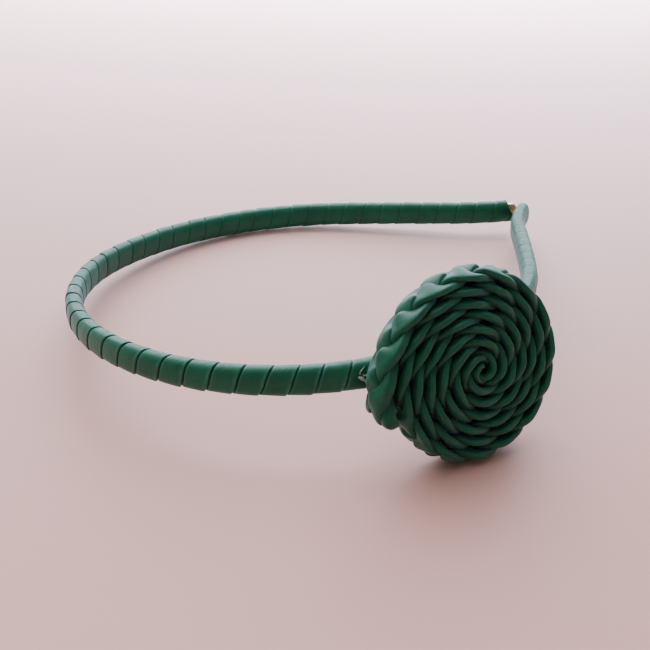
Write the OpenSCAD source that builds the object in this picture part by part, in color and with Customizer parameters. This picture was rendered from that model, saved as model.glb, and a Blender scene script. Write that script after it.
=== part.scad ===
// Flower headband: a springy metal band wound with a leather-like strip, and a
// rosette on its side, coiled from a flat braid of three soft strands.
// It lies on its side, as it comes to rest: one leg on the surface, the other
// carried by the rim of the rosette. Millimetres, +Z up, the crown towards -Y,
// the tips towards +Y and the rosette on the +X side.

/* [Metal core] */
// Width of the metal strip, across the band
core_w = 4.4; // [3.6:0.1:4.6]
// Thickness of the metal strip
core_t = 1.1; // [0.8:0.1:1.4]
// Bare length of the metal strip at each tip
tip_bare = 1.4; // [0.5:0.1:3]

/* [Band path] */
// Length of half the crown arc, from the middle of the crown
crown_len = 60; // [55:1:65]
// Radius of the crown arc
crown_r = 49; // [48:0.5:56]
// Length of each side arc, beside the ears
side_len = 80; // [74:1:82]
// Radius of each side arc
side_r = 76.5; // [75:0.5:90]
// Length of each nearly straight leg
leg_len = 30; // [20:1:32]
// Radius of each leg
leg_r = 680; // [600:10:2000]
// Length of the flare that ends each leg
flare_len = 20; // [12:1:22]
// Radius of the flare, which bends away from the head
flare_r = 60; // [40:1:90]

/* [Wrap] */
// Width over the wrap, across the band, without its raised edges
wrap_w = 6.3; // [5.8:0.1:6.8]
// Thickness over the wrap, without its raised edges
wrap_t = 4; // [3.6:0.1:4.4]
// Height of the strip's edge where it laps over the turn before
lap_h = 0.22; // [0.1:0.02:0.4]
// Number of turns of the strip from tip to tip
wrap_turns = 68; // [45:1:70]
// Gap between the wrap and the metal strip, all round
core_gap = 0.15; // [0.12:0.01:0.25]

/* [Rosette braid] */
// Width of one strand, across its run
strand_w = 2.8; // [2.4:0.1:3.0]
// Thickness of one strand
strand_t = 0.9; // [0.7:0.05:0.95]
// Sideways swing of a strand to each side of the braid's middle
swing_a = 2.2; // [2.2:0.05:2.6]
// Rise of a strand to each side, over and under its neighbours
weave_b = 0.92; // [0.86:0.01:0.93]
// Roll of a strand where it crosses the braid's middle
roll = 12; // [8:1:15]
// Length of braid in which a strand comes back to the same side
braid_period = 23.6; // [22:0.2:28]
// Turn of the weave's pattern, at the braid's outer end
braid_phase = 70; // [0:5:115]

/* [Rosette coil] */
// Radius of the coil's middle line at its outer end
coil_r = 21.3; // [21:0.1:24]
// Number of turns in the coil
coil_turns = 6.2; // [4:0.1:6.2]
// Step from one turn to the next
coil_pitch = 2.9; // [2.88:0.02:3.2]
// How far the middle of the coil stands forward of its rim
dome_h = 1.8; // [0:0.1:4]
// Direction of the coil's outer end, seen from the front, from the band's run
tail_deg = 195; // [0:5:355]
// How far the coil's outer end stands off the turn inside it
tail_lift = 2.4; // [0:0.1:3]
// Angle over which the outer end lifts off
lift_deg = 68; // [40:1:90]

/* [Rosette seat] */
// Distance along the band, from the middle of the crown to the glued spot
seat_s = 66; // [62:1:76]
// Distance from the glued spot on to the middle of the rosette
seat_off = 15.5; // [0:0.1:18]
// How far the middle of the rosette lies below the band's middle
seat_low = 1.3; // [0:0.1:2.5]
// Lean of the rosette's upper edge in towards the head
seat_lean = 8; // [0:0.5:9]
// Gap between the wrap and the back of the rosette at the glued spot
seat_gap = 0.6; // [0.6:0.1:1.2]
// Start of the line of glue, on the crown's side of the glued spot
glue_start = 8.5; // [3:0.5:8.5]
// Length of the line of glue along the band
glue_len = 20; // [10:1:22]
// Width of the line of glue, from the band's lower edge up
glue_w = 3; // [2:0.1:3]

/* [Rest on the surface] */
// Turn of the band about the line from crown to tips, rosette side up
lie_roll = 8.55; // [6:0.05:12]
// Turn of the band about the line across it, which lowers the tips
lie_pitch = -2.7; // [-4:0.05:0]
// Height of the crown's middle, where leg and rim just touch the surface
rest_z = 14.3; // [12:0.01:15]
// Place of the crown's middle, with the origin below the middle of the whole
rest_x = -8.47; // [-12:0.1:0]
rest_y = -72.91; // [-80:0.1:-65]

/* [Hidden] */

half_len = crown_len + side_len + leg_len + flare_len;
tip_s = half_len + tip_bare;

// Half of the band's path as arcs that follow on smoothly, from the crown out.
LEN = 0; RAD = 1;
ARCS = [[crown_len, crown_r], [side_len, side_r],
        [leg_len, leg_r], [flare_len, -flare_r]];

// A place on the path: its X and Y, and its heading in degrees.
PX = 0; PY = 1; HEAD = 2;

// The place after a run of length d on an arc of radius r from the place p.
function run_on(p, d, r) =
    let (h = p[HEAD] + d / r * 180 / PI)
    [p[PX] + r * (sin(h) - sin(p[HEAD])),
     p[PY] - r * (cos(h) - cos(p[HEAD])), h];

// The place at the distance s from the crown, on the rosette's half. Past the
// last arc the path runs straight on.
function half_path(s, i = 0, p = [0, 0, 0]) =
    i == len(ARCS) ? [p[PX] + s * cos(p[HEAD]), p[PY] + s * sin(p[HEAD]), p[HEAD]]
    : s <= ARCS[i][LEN] ? run_on(p, s, ARCS[i][RAD])
    : half_path(s - ARCS[i][LEN], i + 1,
                run_on(p, ARCS[i][LEN], ARCS[i][RAD]));

// The place at the distance s, which is negative on the other half.
function path(s) =
    s >= 0 ? half_path(s)
           : let (q = half_path(-s)) [-q[PX], q[PY], -q[HEAD]];

// The point beside the place at s: out from the head, and up across the band.
function beside(s, out, up) =
    let (p = path(s))
    [p[PX] + out * sin(p[HEAD]), p[PY] - out * cos(p[HEAD]), up];

// Puts what is drawn in the band's own plane into its resting pose.
module at_rest() {
    translate([rest_x, rest_y, rest_z])
        rotate([lie_pitch, -lie_roll, 0]) children();
}

// Two triangles for each four-sided patch a b c d.
function patch(a, b, c, d) = [[a, b, c], [a, c, d]];

// Metal core

core_steps = 80;

// Stations along the strip, from tip to tip.
core_run = [-tip_s, for (i = [-core_steps : core_steps]) half_len * i / core_steps,
            tip_s];

// Edge of the strip seen from above, out to the side from the path.
function core_edge(run, out) = [for (s = run) let (b = beside(s, out, 0)) [b[0], b[1]]];

// What is cut from the strip's square end to round it, seen from its side. The
// rounding is a little wider than the strip, so it meets the edges at an angle.
module tip_cut() {
    r = 0.56 * core_w;
    b = path(tip_s - r);
    translate([b[PX], b[PY], 0]) rotate([0, 0, b[HEAD]])
        difference() {
            translate([0, -2 * core_t, -core_w])
                cube([core_w, 4 * core_t, 2 * core_w]);
            rotate([90, 0, 0])
                cylinder(h = 6 * core_t, r = r, center = true, $fn = 64);
        }
}

module core_band() {
    back = [for (i = [len(core_run) - 1 : -1 : 0]) core_run[i]];
    color("goldenrod") at_rest()
        difference() {
            linear_extrude(core_w, center = true)
                polygon(concat(core_edge(core_run, core_t / 2),
                               core_edge(back, -core_t / 2)));
            tip_cut();
            mirror([1, 0, 0]) tip_cut();
        }
}

// Wrap: a strip wound as a screw, each turn lapped over the one before

SIDES = 8;
wrap_pitch = 2 * half_len / wrap_turns;
wrap_steps = SIDES * wrap_turns;

// Corner k of a bevelled section, out t wide and w high, cut c at each corner,
// counted up the outer face, in over the top and down the inner face.
function corner(k, t, w, c) =
    let (j = (k % SIDES + SIDES) % SIDES)
    [[t / 2, -w / 2 + c], [t / 2, w / 2 - c], [t / 2 - c, w / 2],
     [-t / 2 + c, w / 2], [-t / 2, w / 2 - c], [-t / 2, -w / 2 + c],
     [-t / 2 + c, -w / 2], [t / 2 - c, -w / 2]][j];

// A point of the strip: k counts corners along the screw, v goes from the edge
// tucked beside the turn before, 0, to the raised edge that laps the next, 1.
function strip_point(k, v) =
    let (own = -half_len + wrap_pitch * k / SIDES,
         s = max(-half_len, min(half_len, own + v * wrap_pitch)),
         h = lap_h * (s - own) / wrap_pitch,
         q = corner(k, wrap_t + 2 * h, wrap_w + 2 * h, 1.25))
    beside(s, q[0], q[1]);

// A point of the bore round the metal strip, at ring i.
function bore_point(i, k) =
    let (q = corner(k, core_t + 2 * core_gap, core_w + 2 * core_gap, 0.12))
    beside(-half_len + 2 * half_len * i / wrap_turns, q[0], q[1]);

module wrap_body() {
    first = -SIDES;
    count = wrap_steps - first + 1;
    top = [for (k = [first : wrap_steps]) strip_point(k, 0)];
    low = [for (k = [first : wrap_steps]) strip_point(k, 1)];
    bore = [for (i = [0 : wrap_turns], k = [0 : SIDES - 1]) bore_point(i, k)];
    // where each of the three sets of points starts
    n_low = count;
    n_bore = 2 * count;
    last_ring = n_bore + wrap_turns * SIDES;
    strip = [for (k = [0 : count - 2])
        each k == 0 ? [[0, 1, n_low + 1]]
           : k == count - 2 ? [[k, k + 1, n_low + k]]
           : patch(k, k + 1, n_low + k + 1, n_low + k)];
    step = [for (k = [0 : count - 2 - SIDES])
        each k == 0
            ? [[0, n_low + 1, SIDES + 1], [0, SIDES + 1, SIDES]]
            : k == count - 2 - SIDES
            ? [[n_low + k, n_low + k + 1, count - 1],
               [n_low + k, count - 1, k + SIDES]]
            : patch(n_low + k, n_low + k + 1, k + SIDES + 1, k + SIDES)];
    inner = [for (i = [0 : wrap_turns - 1], k = [0 : SIDES - 1])
        let (a = n_bore + i * SIDES, m = (k + 1) % SIDES)
        each patch(a + k, a + SIDES + k, a + SIDES + m, a + m)];
    start_cap = [for (k = [0 : SIDES - 1])
        let (j = n_bore + (k + 1) % SIDES)
        each k == 0
            ? [[j, 1, 0], [j, 0, SIDES], [j, SIDES, n_bore]]
            : patch(n_bore + k, j, k + 1, k)];
    e = n_low + count - 1 - SIDES;
    end_cap = [for (k = [0 : SIDES - 1])
        let (j = last_ring + (k + 1) % SIDES)
        each k == 0
            ? [[j, last_ring, count - 1], [j, count - 1, e], [j, e, e + 1]]
            : patch(last_ring + k, e + k,
                    k == SIDES - 1 ? count - 1 : e + k + 1, j)];
    polyhedron(points = concat(top, low, bore),
               faces = concat(strip, step, inner, start_cap, end_cap),
               convexity = 12);
}

module wrap() { color("darkgreen") at_rest() wrap_body(); }

// Rosette: three strands, braided flat and coiled on edge

RING_STEPS = 12;
coil_r0 = coil_r - coil_pitch * coil_turns;
coil_turn_deg = 360 * coil_turns;
// length of the coil's middle line up to the turned angle d
function coil_run(d) =
    let (a = d * PI / 180) coil_r0 * a + coil_pitch * a * a / (4 * PI);
// the turned angle at the length u of the middle line
function coil_deg(u) =
    let (c = coil_pitch / (2 * PI))
    (sqrt(coil_r0 * coil_r0 + 2 * c * u) - coil_r0) / c * 180 / PI;

coil_len = coil_run(coil_turn_deg);
ring_count = floor(coil_len / braid_period * RING_STEPS);
braid_w = 2 * swing_a + strand_w * 1.05;

// A point of strand n at ring i: the strand swings from side to side of the
// braid and twice as often over and under, so that on the coil's rim the
// strands run from the braid's edges in to its middle; q is a point of its
// section, across its run and through its thickness. The coil's own axes are:
// along the band, up, and out from the head.
function strand_point(n, i, q) =
    let (u = coil_len * i / ring_count,
         ph = 360 * ((u - coil_len) / braid_period + n / 3) + braid_phase,
         d = coil_deg(u),
         lift = max(0, 1 - (coil_turn_deg - d) / lift_deg),
         r = coil_r0 + coil_pitch * d / 360 + tail_lift * lift * lift,
         side = swing_a * sin(ph),
         slope = swing_a * cos(ph) * 2 * PI / braid_period,
         run = 1 / sqrt(1 + slope * slope),
         dome = dome_h * (1 - r / coil_r),
         tip = -roll * cos(3 * ph),
         wide = q[0] * cos(tip) - q[1] * sin(tip),
         radial = r - weave_b * sin(2 * ph) + q[0] * sin(tip) + q[1] * cos(tip),
         along = -wide * slope * run,
         across = braid_w / 2 + dome + side + wide * run,
         a = tail_deg - coil_turn_deg + d + along / r * 180 / PI)
    [radial * cos(a), radial * sin(a), across];

// Section of a strand: six corners, flat-sided with thin edges.
SECTION = [[-0.5, 0], [-0.27, -0.5], [0.27, -0.5],
           [0.5, 0], [0.27, 0.5], [-0.27, 0.5]];

module strand(n) {
    m = len(SECTION);
    points = [for (i = [0 : ring_count], c = SECTION)
        strand_point(n, i, [c[0] * strand_w, c[1] * strand_t])];
    walls = [for (i = [0 : ring_count - 1], k = [0 : m - 1])
        let (a = i * m, b = a + m, j = (k + 1) % m)
        each patch(a + k, b + k, b + j, a + j)];
    ends = [[for (k = [0 : m - 1]) k],
            [for (k = [m - 1 : -1 : 0]) ring_count * m + k]];
    polyhedron(points = points, faces = concat(walls, ends), convexity = 20);
}

// Puts the rosette's own axes on its seat on the band.
module on_seat() {
    translate(beside(seat_s, wrap_t / 2 + lap_h + seat_gap, 0))
        rotate([0, 0, path(seat_s)[HEAD]]) translate([seat_off, 0, -seat_low])
            rotate([90 - seat_lean, 0, 0]) children();
}

module rosette_strand(n) {
    color(n == 0 ? "seagreen" : n == 1 ? "darkslategray" : "mediumseagreen")
        at_rest() on_seat() strand(n);
}

module braid_strand_1() { rosette_strand(0); }
module braid_strand_2() { rosette_strand(1); }
module braid_strand_3() { rosette_strand(2); }

// Glue: fills the narrow wedge between the wrap and the rosette's back

module glue_bead() {
    p = path(seat_s);
    clear = 0.1;
    depth = 3;
    face_r = side_r + wrap_t / 2 + lap_h + clear;
    color("whitesmoke") at_rest()
        difference() {
            on_seat()
                translate([-seat_off - glue_start, seat_low - wrap_w / 2 + 0.5, -depth])
                    cube([glue_len, glue_w, depth - clear]);
            translate([p[PX], p[PY], 0]) rotate([0, 0, p[HEAD]])
                translate([0, side_r, 0])
                    cylinder(h = 4 * wrap_w, r = face_r, center = true, $fn = 360);
        }
}

core_band();
wrap();
braid_strand_1();
braid_strand_2();
braid_strand_3();
glue_bead();
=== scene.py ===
"""Finishes of a headband wound with a dark green strip, with a rosette coiled from a braid.

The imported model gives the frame. The wrap, the three strands of the braid and the
glue are replaced by finer surfaces of the same form, worked out with numpy, and the
metal strip inside keeps its own mesh and gets a finish. Lengths are in metres.
"""

import logging
import math
from dataclasses import dataclass, field
from enum import Enum, IntEnum

import bmesh
import bpy
import numpy as np
from mathutils import Matrix, Vector


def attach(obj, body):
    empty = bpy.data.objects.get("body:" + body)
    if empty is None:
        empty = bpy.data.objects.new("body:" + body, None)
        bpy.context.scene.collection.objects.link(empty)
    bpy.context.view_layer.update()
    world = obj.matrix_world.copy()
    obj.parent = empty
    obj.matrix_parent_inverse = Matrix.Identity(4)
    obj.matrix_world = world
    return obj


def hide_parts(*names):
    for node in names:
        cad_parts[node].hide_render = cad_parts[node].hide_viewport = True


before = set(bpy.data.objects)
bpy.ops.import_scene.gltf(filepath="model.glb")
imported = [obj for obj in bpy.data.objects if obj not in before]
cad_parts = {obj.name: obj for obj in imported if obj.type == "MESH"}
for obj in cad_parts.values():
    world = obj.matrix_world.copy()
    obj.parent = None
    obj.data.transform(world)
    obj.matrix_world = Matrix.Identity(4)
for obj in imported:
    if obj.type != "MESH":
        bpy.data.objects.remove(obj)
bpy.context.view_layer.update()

MM = 0.001
FULL_TURN = 2 * math.pi

# Points nearer than the first are merged, and faces thinner than the second removed.
MERGE_DIST = 0.002 * MM
SLIVER_DIST = 0.001 * MM

# An irregular wave: its sines, the range of their speeds, and their usual sum.
WAVE_SINES = 5
WAVE_SPEEDS = (0.35, 1.9)
WAVE_RATE = 2.1
WAVE_SUM = 2.2

# The share of its size that a rounded end keeps, so that the last ring stays open.
LEAST_SHARE = 0.02

Colour = tuple[float, float, float]

log = logging.getLogger("headband")


class Slot(Enum):
    """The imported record's material slots of the solids that are replaced."""

    WRAP = "wrap_leather"
    BRAID = "braid_leather"
    GLUE = "glue"


class Wave(IntEnum):
    """Seeds of the irregular waves."""

    LAP = 5
    PLUMP = 8
    SEAM = 11
    STRAND_WIDTH = 21
    GLUE_SWELL = 31
    GLUE_RISE = 32
    STRING_SWELL = 40
    STRING_BEND = 49


def smooth_step(x: np.ndarray) -> np.ndarray:
    """Eases from 0 to 1 as x goes from 0 to 1: three x squared less two x cubed."""
    t = np.clip(x, 0.0, 1.0)
    return t * t * (3 - 2 * t)


def grown(start: float, share: np.ndarray) -> np.ndarray:
    """Goes in a straight line from start to 1 as the share goes from 0 to 1."""
    return start + (1 - start) * share


def round_ends(t: np.ndarray, power: int) -> np.ndarray:
    """Share of the full size along a piece with rounded ends.

    It is the square root of one less (2t - 1) to the power.

    Args:
        t: Where along the piece, from 0 to 1.
        power: An even number. Larger ones keep the full size nearer to the ends.

    Returns:
        The share at each t, never quite zero.
    """
    return np.sqrt(np.clip(1 - (2 * t - 1) ** power, LEAST_SHARE ** 2, 1))


def pressed(x: np.ndarray, depth: float) -> np.ndarray:
    """Distances from a flat face, flattened against it.

    Below the depth, x follows the hyperbolic tangent and never passes the face.

    Args:
        x: Distances from the face.
        depth: Where the flattening starts.

    Returns:
        The distances, none below zero.
    """
    return np.where(x < depth, depth * (1 + np.tanh(x / depth - 1)), x)


def drift(x: np.ndarray, seed: int, reach: float = 1.0) -> np.ndarray:
    """A smooth irregular wave, the same each time it is worked out.

    It is the sum of a few sines whose lengths and places come from a seeded draw.

    Args:
        x: Where along the piece, in units of about one wave.
        seed: Which wave to take.
        reach: The wave's usual height.

    Returns:
        The wave's height at each x.
    """
    draw = np.random.default_rng(seed)
    speeds = draw.uniform(*WAVE_SPEEDS, WAVE_SINES)
    places = draw.uniform(0, FULL_TURN, WAVE_SINES)
    sines = [np.sin(x * speed * WAVE_RATE + place)
             for speed, place in zip(speeds, places)]
    return reach * sum(sines) / WAVE_SUM


def rounded_section(angle: np.ndarray, width: float, height: float,
                    square: float) -> tuple[np.ndarray, np.ndarray]:
    """The point of a superellipse at an angle.

    Each of the angle's cosine and sine is raised to the power two over square, with
    its sign kept, and scaled to half the width and half the height.

    Args:
        angle: Angles round the section, in radians.
        width: Full width, along the cosine.
        height: Full height, along the sine.
        square: 2 is an ellipse, and larger values are nearer to a rectangle.

    Returns:
        The places along the width and along the height.
    """
    c, s = np.cos(angle), np.sin(angle)
    p = 2 / square
    return (width / 2 * np.sign(c) * np.abs(c) ** p,
            height / 2 * np.sign(s) * np.abs(s) ** p)


@dataclass(frozen=True)
class RestPose:
    """How the band, drawn flat in its own plane, lies on the surface."""

    roll: float = math.radians(8.55)
    pitch: float = math.radians(-2.7)
    x: float = -8.47 * MM
    y: float = -72.91 * MM
    z: float = 14.3 * MM

    def turn(self) -> np.ndarray:
        """The turn: about X by the pitch, then about Y by the roll.

        Returns:
            The turn as a matrix.
        """
        cp, sp = math.cos(self.pitch), math.sin(self.pitch)
        cr, sr = math.cos(-self.roll), math.sin(-self.roll)
        about_x = np.array([[1, 0, 0], [0, cp, -sp], [0, sp, cp]])
        about_y = np.array([[cr, 0, sr], [0, 1, 0], [-sr, 0, cr]])
        return about_y @ about_x

    def lay(self, points: np.ndarray) -> np.ndarray:
        """Points of the band's own plane, moved to where they lie."""
        return points @ self.turn().T + np.array([self.x, self.y, self.z])

    def direct(self, direction: np.ndarray) -> np.ndarray:
        """A direction of the band's own plane, turned as the band is."""
        return self.turn() @ direction


@dataclass(frozen=True)
class BandPath:
    """The middle line of the band: on each side of the crown, arcs that follow on."""

    lengths: tuple[float, ...] = (60 * MM, 80 * MM, 30 * MM, 20 * MM)
    radii: tuple[float, ...] = (49 * MM, 76.5 * MM, 680 * MM, -60 * MM)

    @property
    def half_len(self) -> float:
        """Length from the middle of the crown to a tip."""
        return sum(self.lengths)

    def places(self, s: np.ndarray) -> tuple[np.ndarray, np.ndarray, np.ndarray]:
        """X, Y and heading at distances s from the crown.

        Over a run d on an arc of radius r the heading h grows by d over r, x by r
        times the growth of sin h, and y by r times the fall of cos h. Past the last
        arc the path is straight. The side with s below 0 is the mirror image.

        Args:
            s: Distances along the band, above 0 on the rosette's side.

        Returns:
            X, Y and heading, each in the shape of s.
        """
        s = np.asarray(s, dtype=float)
        left = np.abs(s)
        x, y, h = (np.zeros_like(left) for _ in range(3))
        for length, radius in zip(self.lengths, self.radii):
            run = np.minimum(left, length)
            ahead = h + run / radius
            x = x + radius * (np.sin(ahead) - np.sin(h))
            y = y - radius * (np.cos(ahead) - np.cos(h))
            h, left = ahead, left - run
        x, y = x + left * np.cos(h), y + left * np.sin(h)
        side = np.where(s < 0, -1.0, 1.0)
        return side * x, y, side * h

    def beside(self, s: np.ndarray, out: np.ndarray, up: np.ndarray) -> np.ndarray:
        """Points beside the path: out from the head, and up across the band."""
        x, y, h, out, up = np.broadcast_arrays(*self.places(s), out, up)
        return np.stack([x + out * np.sin(h), y - out * np.cos(h), up], axis=-1)


@dataclass
class Surface:
    """Points, faces and what is painted on them, on the way to a mesh."""

    points: np.ndarray
    faces: list[tuple[int, ...]]
    uv: np.ndarray
    paint: dict[str, np.ndarray] = field(default_factory=dict)

    def to_object(self, name: str) -> bpy.types.Object:
        """Makes the mesh and its object, at the origin.

        Doubled points are merged, so that seams and ends close, and the faces are
        turned to point outwards.

        Args:
            name: The name of the object and of its mesh.

        Returns:
            The new object.
        """
        mesh = bpy.data.meshes.new(name)
        mesh.from_pydata(self.points.reshape(-1, 3).tolist(), [], self.faces)
        for key, values in self.paint.items():
            mesh.attributes.new(key, "FLOAT", "POINT").data.foreach_set(
                "value", np.ascontiguousarray(values.ravel(), dtype=np.float32))
        corner = np.empty(len(mesh.loops), dtype=np.int32)
        mesh.loops.foreach_get("vertex_index", corner)
        mesh.uv_layers.new(name="strip").data.foreach_set(
            "uv", self.uv.reshape(-1, 2)[corner].astype(np.float32).ravel())
        work = bmesh.new()
        work.from_mesh(mesh)
        bmesh.ops.remove_doubles(work, verts=work.verts, dist=MERGE_DIST)
        bmesh.ops.dissolve_degenerate(work, edges=work.edges, dist=SLIVER_DIST)
        bmesh.ops.recalc_face_normals(work, faces=work.faces)
        for face in work.faces:
            face.smooth = True
        work.to_mesh(mesh)
        work.free()
        obj = bpy.data.objects.new(name, mesh)
        bpy.context.scene.collection.objects.link(obj)
        return obj


def tube_faces(rings: int, sides: int) -> list[tuple[int, ...]]:
    """Faces of a closed tube of rings, with a flat face over each end.

    Args:
        rings: Number of rings, one after another along the tube.
        sides: Number of points in each ring.

    Returns:
        The four-sided walls and the two ends, as indices of points.
    """
    i, k = np.meshgrid(np.arange(rings - 1), np.arange(sides), indexing="ij")
    here, beside = i * sides + k, i * sides + (k + 1) % sides
    walls = np.stack([here, here + sides, beside + sides, beside], axis=-1).reshape(-1, 4)
    last = (rings - 1) * sides
    ends = [tuple(range(sides)), tuple(range(last + sides - 1, last - 1, -1))]
    return [tuple(f) for f in walls.tolist()] + ends


class Finish:
    """A material built up node by node."""

    def __init__(self, name: str) -> None:
        """Starts a material with one Principled shader.

        Args:
            name: The material's name.
        """
        self.material = bpy.data.materials.new(name)
        self.material.use_nodes = True
        self.nodes = self.material.node_tree.nodes
        self.links = self.material.node_tree.links
        self.shader = next(n for n in self.nodes if n.type == "BSDF_PRINCIPLED")
        self.spot = self.nodes.new("ShaderNodeTexCoord").outputs["Object"]

    def add(self, kind: str, **settings: object) -> bpy.types.Node:
        """Adds a node, sets its properties and sockets, and links what is given.

        Args:
            kind: The node's type, without the word ShaderNode.
            **settings: Properties by name, and sockets by name with spaces written
                as underscores, or by number after an underscore. A socket as a
                value is linked.

        Returns:
            The new node.
        """
        node = self.nodes.new("ShaderNode" + kind)
        for key, value in settings.items():
            if hasattr(node, key):
                setattr(node, key, value)
                continue
            socket = node.inputs[int(key[1:]) if key[0] == "_" else key.replace("_", " ")]
            if isinstance(value, bpy.types.NodeSocket):
                self.links.new(value, socket)
            else:
                socket.default_value = value
        return node

    def noise(self, size: float, detail: float = 3.0, rough: float = 0.5,
              where: bpy.types.NodeSocket | None = None) -> bpy.types.NodeSocket:
        """Cloudy noise whose clouds are about size across, from 0 to 1."""
        node = self.add("TexNoise", Vector=where or self.spot, Scale=1 / size,
                        Detail=detail, Roughness=rough)
        return node.outputs["Fac"]

    def ramp(self, value: bpy.types.NodeSocket, low: float, high: float,
             to_low: float = 0.0, to_high: float = 1.0) -> bpy.types.NodeSocket:
        """The value's range from low to high, stretched to another range and held."""
        node = self.add("MapRange", Value=value, From_Min=low, From_Max=high,
                        To_Min=to_low, To_Max=to_high)
        return node.outputs["Result"]

    def blend(self, share: bpy.types.NodeSocket, first: Colour | bpy.types.NodeSocket,
              second: Colour | bpy.types.NodeSocket) -> bpy.types.NodeSocket:
        """A colour that goes from one to another.

        Args:
            share: How far it has gone, from 0 to 1.
            first: The colour at 0.
            second: The colour at 1.

        Returns:
            The socket that gives the colour.
        """
        node = self.add("Mix", data_type="RGBA")
        sockets = [s for s in node.inputs if s.enabled]
        for socket, value in zip(sockets, (share, first, second)):
            if isinstance(value, bpy.types.NodeSocket):
                self.links.new(value, socket)
            else:
                socket.default_value = (*value, 1.0)
        return next(s for s in node.outputs if s.enabled)

    def attribute(self, name: str) -> bpy.types.NodeSocket:
        """What is painted on the mesh under that name."""
        return self.add("Attribute", attribute_name=name).outputs["Fac"]

    def bump(self, height: bpy.types.NodeSocket, depth: float, strength: float = 1.0,
             over: bpy.types.NodeSocket | None = None) -> bpy.types.NodeSocket:
        """A bumped normal.

        Args:
            height: The relief, from 0 to 1.
            depth: How high the relief is at 1, in metres.
            strength: How much of it shows.
            over: Another bump, which this one lies on.

        Returns:
            The socket that gives the normal.
        """
        node = self.add("Bump", Height=height, Distance=depth, Strength=strength)
        if over is not None:
            self.links.new(over, node.inputs["Normal"])
        return node.outputs["Normal"]

    def put(self, socket: str, value: object) -> None:
        """Sets or links one of the shader's own sockets.

        Args:
            socket: The socket's name.
            value: A value that holds all over, or another node's socket.
        """
        if isinstance(value, bpy.types.NodeSocket):
            self.links.new(value, self.shader.inputs[socket])
        else:
            self.shader.inputs[socket].default_value = value


@dataclass(frozen=True)
class SoftLeather:
    """Matt dark green leather-like strip: fine grain, wrinkles, edges pale with wear and
    painted highlight, and painted shade in creases.
    """

    name: str
    # The fold colour is painted shade for creases and seams, and the last colour is wear
    # together with painted highlight on edges and crests.
    fold: Colour
    deep: Colour
    plain: Colour
    rubbed_and_highlit: Colour
    cloud: float = 7 * MM
    wear: float = 2.2 * MM
    wear_kept: tuple[float, float] = (0.25, 0.9)
    grain: float = 0.32 * MM
    grain_depth: float = 0.035 * MM
    pores: float = 0.12 * MM
    pores_depth: float = 0.012 * MM
    wrinkle: float = 1.6 * MM
    wrinkle_depth: float = 0.10 * MM
    wrinkle_stretch: float = 3.4
    polish: float = 1.1 * MM
    roughness: tuple[float, float] = (0.38, 0.56)
    specular: float = 0.44
    specular_tint: Colour = (0.62, 0.93, 0.88)
    sheen: float = 0.2
    sheen_roughness: float = 0.45
    sheen_tint: Colour = (0.50, 0.82, 1.0)

    def build(self) -> bpy.types.Material:
        """Builds the material.

        The colour clouds between deep and plain. It darkens to the fold's colour, a painted
        shade, in creases and seams where little light reaches, and pales along edges and
        crests to a colour of wear and painted highlight together. Wrinkles, which run along
        the strip, raise the surface, and so do grain cells and pores.
        The gloss is tinted a little green, so that the floor's reflection in it
        doesn't turn the green brown.

        Returns:
            The new material.
        """
        f = Finish(self.name)
        edge = f.attribute("edge")
        strip = f.add("UVMap", uv_map="strip").outputs["UV"]
        along = f.add("Mapping", Vector=strip,
                      Scale=(1.0, self.wrinkle_stretch, 1.0)).outputs["Vector"]
        tint = f.blend(f.ramp(f.noise(self.cloud, 4.0, 0.6), 0.32, 0.68),
                       self.deep, self.plain)
        # Painted shade: where the paint is below 0, in creases and seams, the colour goes
        # to the fold colour.
        tint = f.blend(f.ramp(edge, -1.0, 0.0), self.fold, tint)
        # Where the paint is above 0.35 the colour turns paler in patches: wear and painted
        # highlight on edges and crests.
        patches = f.ramp(f.noise(self.wear, 4.0), 0.35, 0.7, *self.wear_kept)
        wear_and_highlight = f.add("Math", operation="MULTIPLY", _0=f.ramp(edge, 0.35, 1.0),
                     _1=patches).outputs[0]
        f.put("Base Color", f.blend(wear_and_highlight, tint, self.rubbed_and_highlit))
        cells = f.add("TexVoronoi", feature="SMOOTH_F1", Vector=f.spot,
                      Scale=1 / self.grain, Smoothness=0.6).outputs["Distance"]
        streaks = f.noise(self.wrinkle, 3.0, 0.55, along)
        relief = f.bump(streaks, self.wrinkle_depth, 0.8)
        relief = f.bump(cells, self.grain_depth, 0.55, relief)
        relief = f.bump(f.noise(self.pores, 2.0), self.pores_depth, 0.5, relief)
        f.put("Normal", relief)
        f.put("Roughness", f.ramp(f.noise(self.polish, 4.0), 0.3, 0.75, *self.roughness))
        f.put("Specular IOR Level", self.specular)
        f.put("Specular Tint", (*self.specular_tint, 1.0))
        f.put("Sheen Weight", self.sheen)
        f.put("Sheen Roughness", self.sheen_roughness)
        f.put("Sheen Tint", (*self.sheen_tint, 1.0))
        return f.material


# The fold colours are painted shade, and the last colours are wear with painted highlight.
WRAP_FINISH = SoftLeather("wrap_leather", fold=(0.001, 0.010, 0.005),
                          deep=(0.003, 0.070, 0.032), plain=(0.005, 0.108, 0.051),
                          rubbed_and_highlit=(0.055, 0.260, 0.180))
BRAID_FINISH = SoftLeather("braid_leather", fold=(0.0003, 0.006, 0.003),
                           deep=(0.0009, 0.040, 0.0165), plain=(0.0014, 0.065, 0.0245),
                           rubbed_and_highlit=(0.004, 0.098, 0.048))


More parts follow.
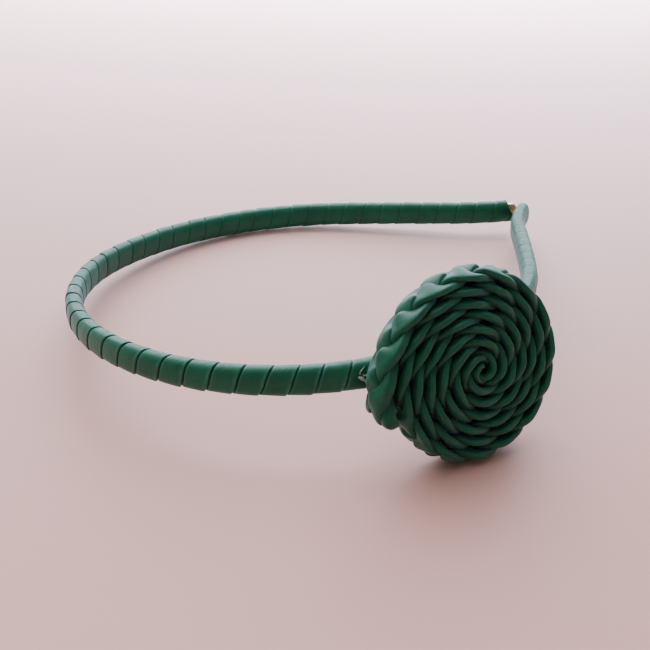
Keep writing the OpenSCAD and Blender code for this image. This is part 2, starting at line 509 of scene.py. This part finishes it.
@dataclass(frozen=True)
class BrushedBrass:
    """Brass-coloured metal strip, brushed along, with dull spots."""

    name: str = "brushed_brass"
    bright: Colour = (0.95, 0.83, 0.55)
    dull: Colour = (0.70, 0.58, 0.34)
    scratch: float = 0.08 * MM
    scratch_depth: float = 0.01 * MM
    scratch_stretch: float = 0.08
    spot: float = 1.4 * MM
    roughness: tuple[float, float] = (0.22, 0.42)

    def build(self) -> bpy.types.Material:
        """Builds the material: fine scratches along the band, and cloudy tarnish.

        Returns:
            The new material.
        """
        f = Finish(self.name)
        lines = f.add("Mapping", Vector=f.spot,
                      Scale=(1.0, self.scratch_stretch, 1.0)).outputs["Vector"]
        scratches = f.noise(self.scratch, 2.0, 0.5, lines)
        tarnish = f.ramp(f.noise(self.spot, 5.0, 0.65), 0.42, 0.72)
        f.put("Base Color", f.blend(tarnish, self.bright, self.dull))
        f.put("Metallic", 1.0)
        f.put("Roughness", f.ramp(scratches, 0.3, 0.7, *self.roughness))
        f.put("Normal", f.bump(scratches, self.scratch_depth, 0.6))
        return f.material


@dataclass(frozen=True)
class SetGlue:
    """Set clear glue: glossy and slightly milky."""

    name: str = "set_glue"
    body: Colour = (0.60, 0.70, 0.62)
    thin: Colour = (0.34, 0.46, 0.38)
    cloud: float = 1.2 * MM
    ripple: float = 0.5 * MM
    ripple_depth: float = 0.06 * MM
    polish: float = 0.6 * MM
    roughness: tuple[float, float] = (0.08, 0.2)
    transmission: float = 0.35
    ior: float = 1.48

    def build(self) -> bpy.types.Material:
        """Builds the material: milky in clouds, and wavy on its surface.

        Returns:
            The new material.
        """
        f = Finish(self.name)
        f.put("Base Color", f.blend(f.ramp(f.noise(self.cloud, 3.0), 0.35, 0.65),
                                    self.body, self.thin))
        f.put("Roughness", f.ramp(f.noise(self.polish, 2.0), 0.3, 0.7, *self.roughness))
        f.put("Transmission Weight", self.transmission)
        f.put("IOR", self.ior)
        f.put("Normal", f.bump(f.noise(self.ripple, 2.0), self.ripple_depth, 0.6))
        return f.material


@dataclass(frozen=True)
class PaleFloor:
    """The plain pale surface that the headband lies on."""

    name: str = "pale_floor"
    near: Colour = (0.585, 0.313, 0.258)
    clouded: Colour = (0.57, 0.300, 0.246)
    # The far colour is painted light: it stands in for the window's sheen on the far floor.
    far: Colour = (0.96, 0.71, 0.75)
    back: tuple[float, float, float] = (-0.71, 0.71, 0.0)
    reach: tuple[float, float] = (-45 * MM, 330 * MM)
    cloud: float = 60 * MM
    grain: float = 0.5 * MM
    grain_depth: float = 0.02 * MM

    def build(self) -> bpy.types.Material:
        """Builds the material: a matt tone with faint clouds, paler towards the back, where
        the paleness is painted light, the window's sheen on the far floor.

        Returns:
            The new material.
        """
        f = Finish(self.name)
        away = f.add("VectorMath", operation="DOT_PRODUCT", _0=f.spot,
                     _1=self.back).outputs["Value"]
        tone = f.blend(f.noise(self.cloud, 2.0), self.near, self.clouded)
        # Paler towards the back: painted sheen of the window light.
        f.put("Base Color", f.blend(f.ramp(away, *self.reach), tone, self.far))
        f.put("Roughness", 0.5)
        f.put("Specular IOR Level", 0.5)
        f.put("Normal", f.bump(f.noise(self.grain, 3.0), self.grain_depth, 0.3))
        return f.material


@dataclass
class WoundStrip:
    """The strip wound as a screw round the metal, each turn lapped over the last."""

    path: BandPath
    pose: RestPose
    # The band's section over the winding, and the metal's inside it.
    width: float = 6.3 * MM
    thickness: float = 4.0 * MM
    square: float = 2.5
    core_width: float = 4.4 * MM
    core_thickness: float = 1.1 * MM
    core_gap: float = 0.15 * MM
    core_square: float = 8.0
    # The winding: where it starts, how its seams wander, and the pattern's length.
    turns: int = 68
    steps: int = 44
    start_angle: float = -0.62 * math.pi
    seam_shift: float = -2.7 * MM
    wander: float = 0.30 * MM
    wander_rate: float = 2.2
    turn_len: float = 15 * MM
    # The strip's own shape: its lap, its plump middle and its fold at one corner.
    lap: float = 0.16 * MM
    lap_uneven: float = 0.22
    lap_rate: float = 3.1
    head_side: float = 0.4
    plump: float = 0.07 * MM
    plump_uneven: float = 0.5
    plump_rate: float = 1.7
    fold: float = 0.55
    fold_angle: float = -0.30 * math.pi
    fold_spread: float = 0.30
    # The ends: the slanted cut, and what is left of the length past an end.
    cut: float = 2.4 * MM
    squeeze: float = 0.02

    def across(self) -> tuple[np.ndarray, np.ndarray, np.ndarray]:
        """The strip's section from its tucked edge, 0, to its raised edge, 1.

        Returns:
            The places across the strip, the height there as a share of the lap, and
            the paint there: -1 is painted shade in the crease, and the high values, just
                past the crease and on the raised edge, are painted highlight together with
                wear.
        """
        place = np.array([0.0, 0.012, 0.026, 0.05, 0.10, 0.25, 0.45, 0.65, 0.82, 0.915,
                          0.95, 0.968, 0.98])
        height = np.array([-1.35, -1.15, -0.30, 0.06, 0.18, 0.22, 0.36, 0.60, 0.88, 1.0,
                           0.80, 0.25, -0.95])
        # Paint: painted shade at -1 in the creases, painted highlight with wear at the high
        # values.
        edge = np.array([-1.0, -1.0, -0.2, 0.75, 0.45, 0.0, 0.0, 0.1, 0.45, 0.8,
                         0.45, -0.6, -1.0])
        return place, height, edge

    def held(self, s: np.ndarray, up: np.ndarray) -> np.ndarray:
        """Holds places along the band between its ends.

        Args:
            s: Places along the band.
            up: How high round the section, from -0.5 to 0.5.

        Returns:
            The places, those past the tips squeezed to almost nothing. On the far
            side the strip is cut at a slant, so that it ends sooner at the top.
        """
        half = self.path.half_len
        kept = np.clip(s, -half + self.cut * smooth_step(0.5 + 1.6 * up), half)
        return kept + self.squeeze * (s - kept)

    def seam(self, turn: np.ndarray) -> np.ndarray:
        """Where along the band the strip's tucked edge lies.

        It goes on by the pitch with each turn, and wanders a little.

        Args:
            turn: Turns of the screw since its start.

        Returns:
            The places along the band.
        """
        half = self.path.half_len
        return (-half + 2 * half / self.turns * (turn - 1) + self.seam_shift
                + drift(turn * self.wander_rate, Wave.SEAM, self.wander))

    def skin(self) -> Surface:
        """The outside of the winding.

        Row k of the grid is at the angle of k steps round the section, and its strip
        starts k steps of the screw along the band. Column j is a place across the
        strip, whose height follows its section. The last column of a row joins the
        first column one turn on, and rows past a tip are held at the tip. The strip
        is plump as half a wave of the sine. Its raised edge is higher at the outer
        bottom corner, where it folds over, by a bell curve of the angle from there,
        and pressed flatter on the head's side.

        Returns:
            The skin, still open at both ends.
        """
        place, height, edge = self.across()
        rows = (self.turns + 2) * self.steps + 1
        turn = np.arange(rows)[:, None] / self.steps
        angle = FULL_TURN * turn + self.start_angle
        own = self.seam(turn)
        s = own + place * (self.seam(turn + 1) - own)
        off = np.mod(angle - self.fold_angle + math.pi, FULL_TURN) - math.pi
        fold = np.exp(-(off / self.fold_spread) ** 2)
        lap = self.lap * (1 + drift(turn * self.lap_rate, Wave.LAP, self.lap_uneven))
        plump = (self.plump * np.sin(math.pi * place)
                 * (1 + drift(turn * self.plump_rate, Wave.PLUMP, self.plump_uneven)))
        out, up = rounded_section(angle, 1.0, 1.0, self.square)
        show = grown(self.head_side, smooth_step(0.75 + 1.5 * out))
        h = (lap * show * height + plump
             + self.lap * self.fold * fold * np.clip(height, 0, 1) ** 3)
        s = self.held(s, up)
        points = self.path.beside(s, out * (self.thickness + 2 * h),
                                  up * (self.width + 2 * h))
        cols = len(place)
        i, j = np.meshgrid(np.arange(rows - 1 - self.steps), np.arange(cols),
                           indexing="ij")
        here = i * cols + j
        ahead = np.where(j == cols - 1, (i + self.steps) * cols, here + 1)
        quads = np.stack([here, ahead, ahead + cols, here + cols], axis=-1)
        pitch = 2 * self.path.half_len / self.turns
        uv = np.stack(np.broadcast_arrays(turn * self.turn_len, place * pitch), axis=-1)
        # The paint, painted shade and highlight, is weaker on the head's side, as the lap
        # is.
        return Surface(points, [tuple(f) for f in quads.reshape(-1, 4).tolist()], uv,
                       {"edge": edge * show})

    def lining(self, skin: Surface) -> Surface:
        """Adds the ends and the bore round the metal to the skin, which closes it.

        The bore is a tube of rounded sections along the band, and each end is a ring
        of faces from the bore's rim out to the skin's, with a narrow one over the
        step between the strip's last turn and the one before.

        Args:
            skin: The outside of the winding.

        Returns:
            The closed surface.
        """
        half = self.path.half_len
        cols = skin.points.shape[1]
        base = skin.points.reshape(-1, 3)
        stations = np.linspace(-half, half, 2 * self.turns + 1)[:, None]
        angle = FULL_TURN * np.arange(self.steps) / self.steps + self.start_angle
        out, up = rounded_section(angle, self.core_thickness + 2 * self.core_gap,
                                  self.core_width + 2 * self.core_gap, self.core_square)
        bore = self.path.beside(self.held(stations, up[None] / self.core_width),
                                out[None], up[None]).reshape(-1, 3)
        # The bore's walls, ring after ring.
        near_ring = len(base)
        far_ring = near_ring + (len(stations) - 1) * self.steps
        i, k = np.meshgrid(np.arange(len(stations) - 1), np.arange(self.steps),
                           indexing="ij")
        here = near_ring + i * self.steps + k
        beside = near_ring + i * self.steps + (k + 1) % self.steps
        walls = np.stack([here, beside, beside + self.steps, here + self.steps],
                         axis=-1).reshape(-1, 4)
        # The ends, from the bore's rim to one turn of the skin's first column.
        last_row = skin.points.shape[0] - 1 - self.steps
        step = np.arange(self.steps)
        near, near_on = near_ring + step, near_ring + (step + 1) % self.steps
        shift = last_row % self.steps
        far = far_ring + (step + shift) % self.steps
        far_on = far_ring + (step + shift + 1) % self.steps
        first, last = step * cols, (last_row + step) * cols
        caps = np.concatenate([np.stack([first, first + cols, near_on, near], axis=-1),
                               np.stack([last, far, far_on, last + cols], axis=-1)])
        # The steps that the strip's first and last row leave between two turns.
        first_seam = (near_ring, *range(cols), self.steps * cols)
        last_seam = (far_ring + shift, *range(last_row * cols, (last_row + 1) * cols),
                     (last_row + self.steps) * cols)
        points = np.concatenate([base, bore])
        uv = np.concatenate([skin.uv.reshape(-1, 2), bore[:, :2]])
        # The bore is painted as full shade.
        edge = np.concatenate([skin.paint["edge"].ravel(), np.full(len(bore), -1.0)])
        faces = skin.faces + [tuple(f) for f in np.concatenate([walls, caps]).tolist()]
        return Surface(points, faces + [first_seam, last_seam], uv, {"edge": edge})

    def build(self, finish: bpy.types.Material) -> bpy.types.Object:
        """Builds the winding in place of its plain solid.

        Args:
            finish: The strip's material.

        Returns:
            The new object.
        """
        surface = self.lining(self.skin())
        surface.points = self.pose.lay(surface.points)
        piece = surface.to_object("wound_strip")
        piece.data.materials.append(finish)
        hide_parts("wrap")
        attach(piece, "root")
        return piece


@dataclass
class BraidedRosette:
    """The rosette: a flat braid of three soft strands, coiled on edge."""

    path: BandPath
    pose: RestPose
    # A strand's section, and how it swings, weaves and rolls along the braid.
    strand_width: float = 4.3 * MM
    strand_thickness: float = 1.75 * MM
    square: float = 3.6
    uneven: float = 0.035
    uneven_len: float = 9 * MM
    swing: float = 2.0 * MM
    fold: float = 0.06
    weave: float = 0.94 * MM
    roll: float = math.radians(17)
    period: float = 23.6 * MM
    phase: float = math.radians(70)
    # The coil: its spiral, how far its middle stands out, and its eye's place.
    coil_radius: float = 21.3 * MM
    coil_turns: float = 6.2
    coil_pitch: float = 2.9 * MM
    least_radius: float = 1.2 * MM
    dome: float = 1.8 * MM
    eye_shift: tuple[float, float] = (0.5 * MM, 0.45 * MM)
    # The curled middle: a closer spiral, in which the braid has a share of its size.
    inner_turns: float = 1.2
    inner_pitch: float = 2.05 * MM
    inner_reach: float = 12 * MM
    inner_rise: float = 0.5 * MM
    inner_width: float = 0.84
    inner_thickness: float = 0.74
    inner_swing: float = 0.80
    inner_weave: float = 0.66
    # The outer end, which lifts off and tucks in, and the strands' rounded points.
    tail_angle: float = math.radians(195)
    tail_lift: float = 2.4 * MM
    tail_dip: float = 0.6 * MM
    lift_angle: float = math.radians(68)
    plump_tail: float = 0.9
    run_on: tuple[float, ...] = (3.0 * MM, 2.0 * MM, -0.5 * MM)
    run_slack: float = 0.75
    tuck: float = 2.2 * MM
    tuck_len: float = 4 * MM
    start_point: float = 2.2 * MM
    end_point: float = 2.0 * MM
    # Where the paint turns from painted shade, deep between the leaves, to the pale colour
    # of wear and painted highlight, on the crests and on the coil's outside, and how far it
    # reaches.
    rim: tuple[float, float] = (0.42, 0.52)
    outside: tuple[float, float] = (-0.24 * MM, 0.8 * MM)
    # The flat back, the flat spots on the table, and the seat on the band.
    braid_width: float = 7.34 * MM
    set_back: float = 0.35 * MM
    press: float = 0.5 * MM
    rest: float = 0.2 * MM
    seat_place: float = 66 * MM
    seat_off: float = 15.5 * MM
    seat_low: float = 1.3 * MM
    seat_lean: float = math.radians(8)
    seat_gap: float = 2.82 * MM
    rings: int = 1500
    sides: int = 28

    def on_seat(self, points: np.ndarray) -> np.ndarray:
        """Moves points of the rosette's own axes on to the band.

        Its axes are along the band, up, and out from the head. It leans in at the
        top, is moved along and down from the glued spot, and turned to the band's
        heading there.

        Args:
            points: Points in the rosette's own axes.

        Returns:
            The points where the headband lies.
        """
        lean = math.pi / 2 - self.seat_lean
        x, y, z = np.moveaxis(points, -1, 0)
        local = np.stack([x + self.seat_off,
                          y * math.cos(lean) - z * math.sin(lean),
                          y * math.sin(lean) + z * math.cos(lean) - self.seat_low], -1)
        _, _, heading = self.path.places(np.array(self.seat_place))
        spot = self.path.beside(np.array(self.seat_place), np.array(self.seat_gap),
                                np.array(0.0))
        c, s = math.cos(heading), math.sin(heading)
        turn = np.array([[c, -s, 0], [s, c, 0], [0, 0, 1]])
        return self.pose.lay(local @ turn.T + spot)

    def strand(self, number: int) -> Surface:
        """One strand of the braid.

        At the length u of the coil's middle line, the strand swings to the side as
        the sine of its phase, less a little of the sine of three times that, which
        folds it more sharply. It moves in and out as the sine of twice its phase. A
        third of a turn of phase lies between strands. The coil's radius grows with
        the turned angle, more slowly in its curled middle, and its outer end lifts
        off. There each strand runs on by a length of its own and tucks in. The
        section is a superellipse, rolled as the strand crosses the middle. It narrows
        to a rounded point at both ends of the braid. Against the back, within the
        press, it is flattened as the hyperbolic tangent of the distance. What lies
        near the braid's middle, deep between the leaves, is painted dark as shade;
        what lies far from it, on the crests, or on the outside of its last turn, is
        painted as an edge, pale with wear and painted highlight.

        Args:
            number: 0, 1 or 2.

        Returns:
            The strand's closed surface.
        """
        start_r = self.coil_radius - self.coil_pitch * self.coil_turns
        grow = self.coil_pitch / FULL_TURN
        whole = FULL_TURN * self.coil_turns
        length = start_r * whole + grow * whole ** 2 / 2
        curl = self.inner_pitch / FULL_TURN
        inner = FULL_TURN * self.inner_turns
        lead = start_r * inner - curl * inner ** 2 / 2
        end = length + self.run_on[number]
        u = np.linspace(-lead, end, self.rings)[:, None]
        over = np.clip(u - length, 0, None)
        braided = u - length - self.run_slack * over
        phase = FULL_TURN * (braided / self.period + number / 3) + self.phase
        rate = np.where(u < 0, curl, grow)
        turned = (np.sqrt(start_r ** 2 + 2 * rate * u) - start_r) / rate
        lift = np.clip(1 - (whole - turned) / self.lift_angle, 0, 1)
        r = (start_r + rate * turned + self.tail_lift * lift ** 2
             - self.tail_dip * lift - self.tuck * (over / self.tuck_len) ** 2)
        full = smooth_step((u + lead) / (lead + self.inner_reach))
        before_end = np.clip((end - u) / self.end_point, 0, 1)
        after_start = np.clip((u + lead) / self.start_point, 0, 1)
        taper = np.sqrt((1 - (1 - before_end) ** 2) * (1 - (1 - after_start) ** 2)
                        + LEAST_SHARE ** 2)
        swing = self.swing * grown(self.inner_swing, full)
        weave = self.weave * grown(self.inner_weave, full)
        wide_now = (self.strand_width * grown(self.inner_width, full) * taper
                    * (1 + drift(u / self.uneven_len + 3 * number, Wave.STRAND_WIDTH,
                                 self.uneven)))
        thick_now = (self.strand_thickness * grown(self.inner_thickness, full) * taper
                     * (1 + self.plump_tail * lift))
        angle = FULL_TURN * np.arange(self.sides)[None] / self.sides
        q0, q1 = rounded_section(angle, 1.0, 1.0, self.square)
        q0, q1 = q0 * wide_now, q1 * thick_now
        side = swing * (np.sin(phase) - self.fold * np.sin(3 * phase)) / (1 + self.fold)
        slope = (swing * (np.cos(phase) - 3 * self.fold * np.cos(3 * phase))
                 / (1 + self.fold) * FULL_TURN / self.period)
        run = 1 / np.sqrt(1 + slope ** 2)
        tip = -self.roll * np.cos(3 * phase)
        wide = q0 * np.cos(tip) - q1 * np.sin(tip)
        radial = r - weave * np.sin(2 * phase) + q0 * np.sin(tip) + q1 * np.cos(tip)
        along = -wide * slope * run
        inward = 1 - r / self.coil_radius
        middle = (self.braid_width / 2 - self.set_back + self.dome * inward
                  + self.inner_rise * (1 - full))
        across = pressed(middle + side + wide * run, self.press)
        a = self.tail_angle - whole + turned + along / np.maximum(r, self.least_radius)
        points = np.stack([radial * np.cos(a) + self.eye_shift[0] * inward,
                           radial * np.sin(a) + self.eye_shift[1] * inward, across],
                          axis=-1)
        # Paint: -1 is painted shade near the braid's middle, between the leaves; 1 is wear
        # with painted highlight on the crests and the outside of the last turn.
        off = np.abs(across - middle) / (swing + wide_now / 2)
        rim = smooth_step((off - self.rim[0]) / self.rim[1])
        outer = (smooth_step((radial - r - self.outside[0]) / self.outside[1])
                 * (turned > whole - FULL_TURN))
        edge = 2 * np.maximum(rim, outer) - 1
        uv = np.stack(np.broadcast_arrays(u, angle * self.strand_width / 2), axis=-1)
        return Surface(points, tube_faces(self.rings, self.sides), uv, {"edge": edge})

    def build(self, finish: bpy.types.Material) -> list[bpy.types.Object]:
        """Builds the three strands in place of their plain solids.

        The lowest leaves lie on the table and are flattened where they touch it.

        Args:
            finish: The strands' material.

        Returns:
            The new objects, one for each strand.
        """
        made = []
        for number in range(3):
            surface = self.strand(number)
            surface.points = self.on_seat(surface.points)
            surface.points[..., 2] = pressed(surface.points[..., 2], self.rest)
            piece = surface.to_object(f"rosette_strand_{number + 1}")
            piece.data.materials.append(finish)
            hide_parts(f"braid_strand_{number + 1}")
            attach(piece, "root")
            made.append(piece)
        return made


@dataclass(frozen=True)
class GlueString:
    """A short string of set glue on the wrap's outer face, with rounded ends.

    It runs from s0 along the band and up0 across it to s1 and up1. Its middle is bent
    back along the band.
    """

    s0: float
    up0: float
    s1: float
    up1: float
    radius: float
    bend: float = 0.0


@dataclass
class GlueLine:
    """The line of set glue between the wrap and the rosette's back."""

    rosette: BraidedRosette
    # The line's section and how unevenly it swells and rises.
    start: float = 8.0 * MM
    length: float = 19.4 * MM
    width: float = 2.6 * MM
    low: float = 2.1 * MM
    gap: float = 0.66 * MM
    overfill: float = 1.04
    swell: float = 0.22
    swell_len: float = 2.2 * MM
    rise: float = 0.25 * MM
    rise_len: float = 3 * MM
    square: float = 2.5
    stations: int = 90
    sides: int = 24
    # The wrap's face, on which the strings lie, and the strings.
    face_radius: float = (76.5 + 2.0 + 0.16) * MM
    face_out: float = (2.0 + 0.10) * MM
    face_half: float = (3.15 + 0.10) * MM
    string_swell: float = 0.2
    string_bend: float = 0.12 * MM
    string_rings: int = 28
    string_sides: int = 14
    strings: tuple[GlueString, ...] = (
        GlueString(57.0 * MM, 0.4 * MM, 58.8 * MM, -0.85 * MM, 0.34 * MM),
        GlueString(58.6 * MM, 2.35 * MM, 57.4 * MM, 0.9 * MM, 0.17 * MM, 0.45 * MM),
        GlueString(58.0 * MM, 0.75 * MM, 58.9 * MM, 0.4 * MM, 0.18 * MM))

    def line(self) -> Surface:
        """The glue line itself.

        Along the band it fills the wedge between the wrap's face, which falls away
        as the square of the distance over twice its radius, and the rosette's back.
        Its rounded section swells and thins irregularly, and closes at both ends.

        Returns:
            The closed surface.
        """
        t = np.linspace(0, 1, self.stations)[:, None]
        x = -self.start + self.length * t
        end = round_ends(t, 8)
        gap = self.gap + x ** 2 / (2 * self.face_radius)
        swell = 1 + drift(x / self.swell_len, Wave.GLUE_SWELL, self.swell)
        angle = FULL_TURN * np.arange(self.sides)[None] / self.sides
        q0, q1 = rounded_section(angle, 1.0, 1.0, self.square)
        up = (self.width / 2 - self.low + q0 * self.width * swell * end
              + drift(x / self.rise_len, Wave.GLUE_RISE, self.rise))
        lean = -up * math.tan(self.rosette.seat_lean)
        back = lean - gap / 2 + q1 * gap * self.overfill * end
        points = np.stack(np.broadcast_arrays(x - self.rosette.seat_off,
                                              up + self.rosette.seat_low, back), axis=-1)
        uv = np.stack(np.broadcast_arrays(x, angle * self.width), axis=-1)
        return Surface(self.rosette.on_seat(points), tube_faces(self.stations, self.sides),
                       uv)

    def string(self, spec: GlueString, number: int) -> Surface:
        """One string, a tube that bends and swells a little.

        Its middle line runs from the first spot to the second, bent along the band as
        half a wave of the sine, and lies on the wrap's rounded face, whose distance
        out is that of a superellipse.

        Args:
            spec: Where the string lies and how thick it is.
            number: Which of the strings it is, for its own bends and swellings.

        Returns:
            The closed surface.
        """
        t = np.linspace(0, 1, self.string_rings)[:, None]
        swell = drift(3 * t, Wave.STRING_SWELL + number, self.string_swell)
        r = spec.radius * round_ends(t, 4) * (1 + swell)
        angle = FULL_TURN * np.arange(self.string_sides)[None] / self.string_sides
        s = (spec.s0 + (spec.s1 - spec.s0) * t - spec.bend * np.sin(math.pi * t)
             + 0.5 * r * np.cos(angle))
        middle = (spec.up0 + (spec.up1 - spec.up0) * t
                  + drift(2 * t, Wave.STRING_BEND + number, self.string_bend))
        up = middle + r * np.cos(angle)
        inner = 1 - np.abs(middle / self.face_half) ** self.square
        out = self.face_out * inner ** (1 / self.square) + 0.7 * r + 0.9 * r * np.sin(angle)
        points = self.rosette.path.beside(s, out, up)
        uv = np.stack(np.broadcast_arrays(s, r * angle), axis=-1)
        return Surface(self.rosette.pose.lay(points),
                       tube_faces(self.string_rings, self.string_sides), uv)

    def build(self, finish: bpy.types.Material) -> bpy.types.Object:
        """Builds the glue in place of its plain solid.

        Args:
            finish: The glue's material.

        Returns:
            The new object.
        """
        parts = [self.line()] + [self.string(spec, number)
                                 for number, spec in enumerate(self.strings)]
        before = np.cumsum([0] + [part.points[..., 0].size for part in parts])
        faces = [tuple(i + start for i in face)
                 for part, start in zip(parts, before.tolist()) for face in part.faces]
        piece = Surface(np.concatenate([part.points.reshape(-1, 3) for part in parts]),
                        faces, np.concatenate([part.uv.reshape(-1, 2) for part in parts])
                        ).to_object("glue_line")
        piece.data.materials.append(finish)
        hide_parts("glue_bead")
        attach(piece, "root")
        return piece


def finish_core(finish: bpy.types.Material) -> bpy.types.Object:
    """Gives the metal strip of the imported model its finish.

    Args:
        finish: The metal's material.

    Returns:
        The strip's object.
    """
    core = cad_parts["core_band"]
    if not core.material_slots:
        core.data.materials.append(finish)
    for place in core.material_slots:
        place.material = finish
    return core


@dataclass(frozen=True)
class PhotoCamera:
    """The camera, placed as the photograph was taken, from the band's own plane."""

    lens: float = 61.98
    sensor: float = 36.0
    clip: tuple[float, float] = (0.01, 10.0)
    distance: float = 257.2 * MM
    elevation: float = 0.4083
    tilt: float = 0.0172
    band_turn: float = -0.7875
    band_x: float = -46.43 * MM
    band_y: float = -14.71 * MM

    def to_band(self, v: np.ndarray) -> np.ndarray:
        """Turns a direction of the camera's ground axes to the band's own axes."""
        c, s = math.cos(self.band_turn), math.sin(self.band_turn)
        return np.array([c * v[0] + s * v[1], -s * v[0] + c * v[1], v[2]])

    def build(self, pose: RestPose) -> bpy.types.Object:
        """Makes the camera and makes it the scene's.

        It looks down at the middle of the frame at its elevation, from its distance,
        turned a little about its own axis.

        Args:
            pose: How the band lies.

        Returns:
            The camera's object.
        """
        ce, se = math.cos(self.elevation), math.sin(self.elevation)
        ct, st = math.cos(self.tilt), math.sin(self.tilt)
        look = np.array([0.0, ce, -se])
        right = np.array([ct, st * se, st * ce])
        above = np.array([-st, ct * se, ct * ce])
        stand = -look * self.distance - np.array([self.band_x, self.band_y, 0.0])
        axes = [pose.direct(self.to_band(v)) for v in (right, above, -look)]
        data = bpy.data.cameras.new("photo_camera")
        data.lens, data.sensor_width = self.lens, self.sensor
        data.clip_start, data.clip_end = self.clip
        camera = bpy.data.objects.new("photo_camera", data)
        matrix = Matrix([[*row] for row in np.array(axes).T]).to_4x4()
        matrix.translation = Vector(pose.lay(self.to_band(stand)))
        camera.matrix_world = matrix
        bpy.context.scene.collection.objects.link(camera)
        bpy.context.scene.camera = camera
        return camera


@dataclass(frozen=True)
class SoftBox:
    """A large soft light."""

    name: str
    place: tuple[float, float, float]
    size: float
    power: float
    colour: Colour
    aim: tuple[float, float, float] = (0.0, 0.0, 0.0)
    spread: float = math.pi

    def build(self) -> bpy.types.Object:
        """Makes the light, which faces the point it is aimed at.

        Returns:
            The light's object.
        """
        data = bpy.data.lights.new(self.name, "AREA")
        data.shape, data.size = "SQUARE", self.size
        data.energy, data.color = self.power, self.colour
        data.spread = self.spread
        light = bpy.data.objects.new(self.name, data)
        light.location = self.place
        aim = Vector(self.aim) - Vector(self.place)
        light.rotation_euler = aim.to_track_quat("-Z", "Y").to_euler()
        bpy.context.scene.collection.objects.link(light)
        return light


@dataclass(frozen=True)
class Studio:
    """The pale floor, the soft lights and the glow round them."""

    floor_half: float = 3.0
    lights: tuple[SoftBox, ...] = (
        SoftBox("window", (-1.14, 0.91, 1.20), 2.6, 122.0, (0.87, 0.86, 1.0)),
        SoftBox("overhead", (-0.70, -0.45, 1.5), 2.0, 22.0, (1.0, 0.95, 0.92)),
        SoftBox("backdrop", (-0.58, 0.46, 1.0), 0.5, 30.0, (1.0, 0.93, 0.96),
                (-0.58, 0.46, 0.0), math.radians(50)))
    glow: Colour = (0.76, 0.85, 0.88)
    glow_strength: float = 0.34
    horizon_strength: float = 1.2
    horizon_fade: tuple[float, float] = (0.05, 0.14)

    def lay_floor(self) -> None:
        """Makes the floor."""
        h = self.floor_half
        mesh = bpy.data.meshes.new("floor")
        corners = [(-h, -h, 0), (h, -h, 0), (h, h, 0), (-h, h, 0)]
        mesh.from_pydata(corners, [], [(0, 1, 2, 3)])
        mesh.materials.append(PaleFloor().build())
        floor = bpy.data.objects.new("floor", mesh)
        bpy.context.scene.collection.objects.link(floor)

    def light_world(self) -> None:
        """Makes the world's glow, which is brighter low down, round the floor."""
        world = bpy.data.worlds.new("studio_glow")
        world.use_nodes = True
        nodes, links = world.node_tree.nodes, world.node_tree.links
        back = nodes["Background"]
        back.inputs["Color"].default_value = (*self.glow, 1.0)
        height = nodes.new("ShaderNodeSeparateXYZ")
        fade = nodes.new("ShaderNodeMapRange")
        for socket, value in zip(("From Min", "From Max", "To Min", "To Max"),
                                 (*self.horizon_fade, self.horizon_strength,
                                  self.glow_strength)):
            fade.inputs[socket].default_value = value
        links.new(nodes.new("ShaderNodeTexCoord").outputs["Generated"], height.inputs[0])
        links.new(height.outputs["Z"], fade.inputs["Value"])
        links.new(fade.outputs["Result"], back.inputs["Strength"])
        bpy.context.scene.world = world

    def build(self) -> None:
        """Makes the floor, the lights and the glow."""
        self.lay_floor()
        for light in self.lights:
            light.build()
        self.light_world()


def main() -> None:
    """Builds the pieces in order, reports each, and sets the studio up."""
    logging.basicConfig(level=logging.INFO, format="%(message)s")
    path, pose = BandPath(), RestPose()
    PhotoCamera().build(pose)
    rosette = BraidedRosette(path, pose)
    built = [finish_core(BrushedBrass().build()),
             WoundStrip(path, pose).build(WRAP_FINISH.build()),
             *rosette.build(BRAID_FINISH.build()),
             GlueLine(rosette).build(SetGlue().build())]
    for piece in built:
        log.info("%s: %d faces", piece.name, len(piece.data.polygons))
    Studio().build()


if __name__ == "__main__":
    main()
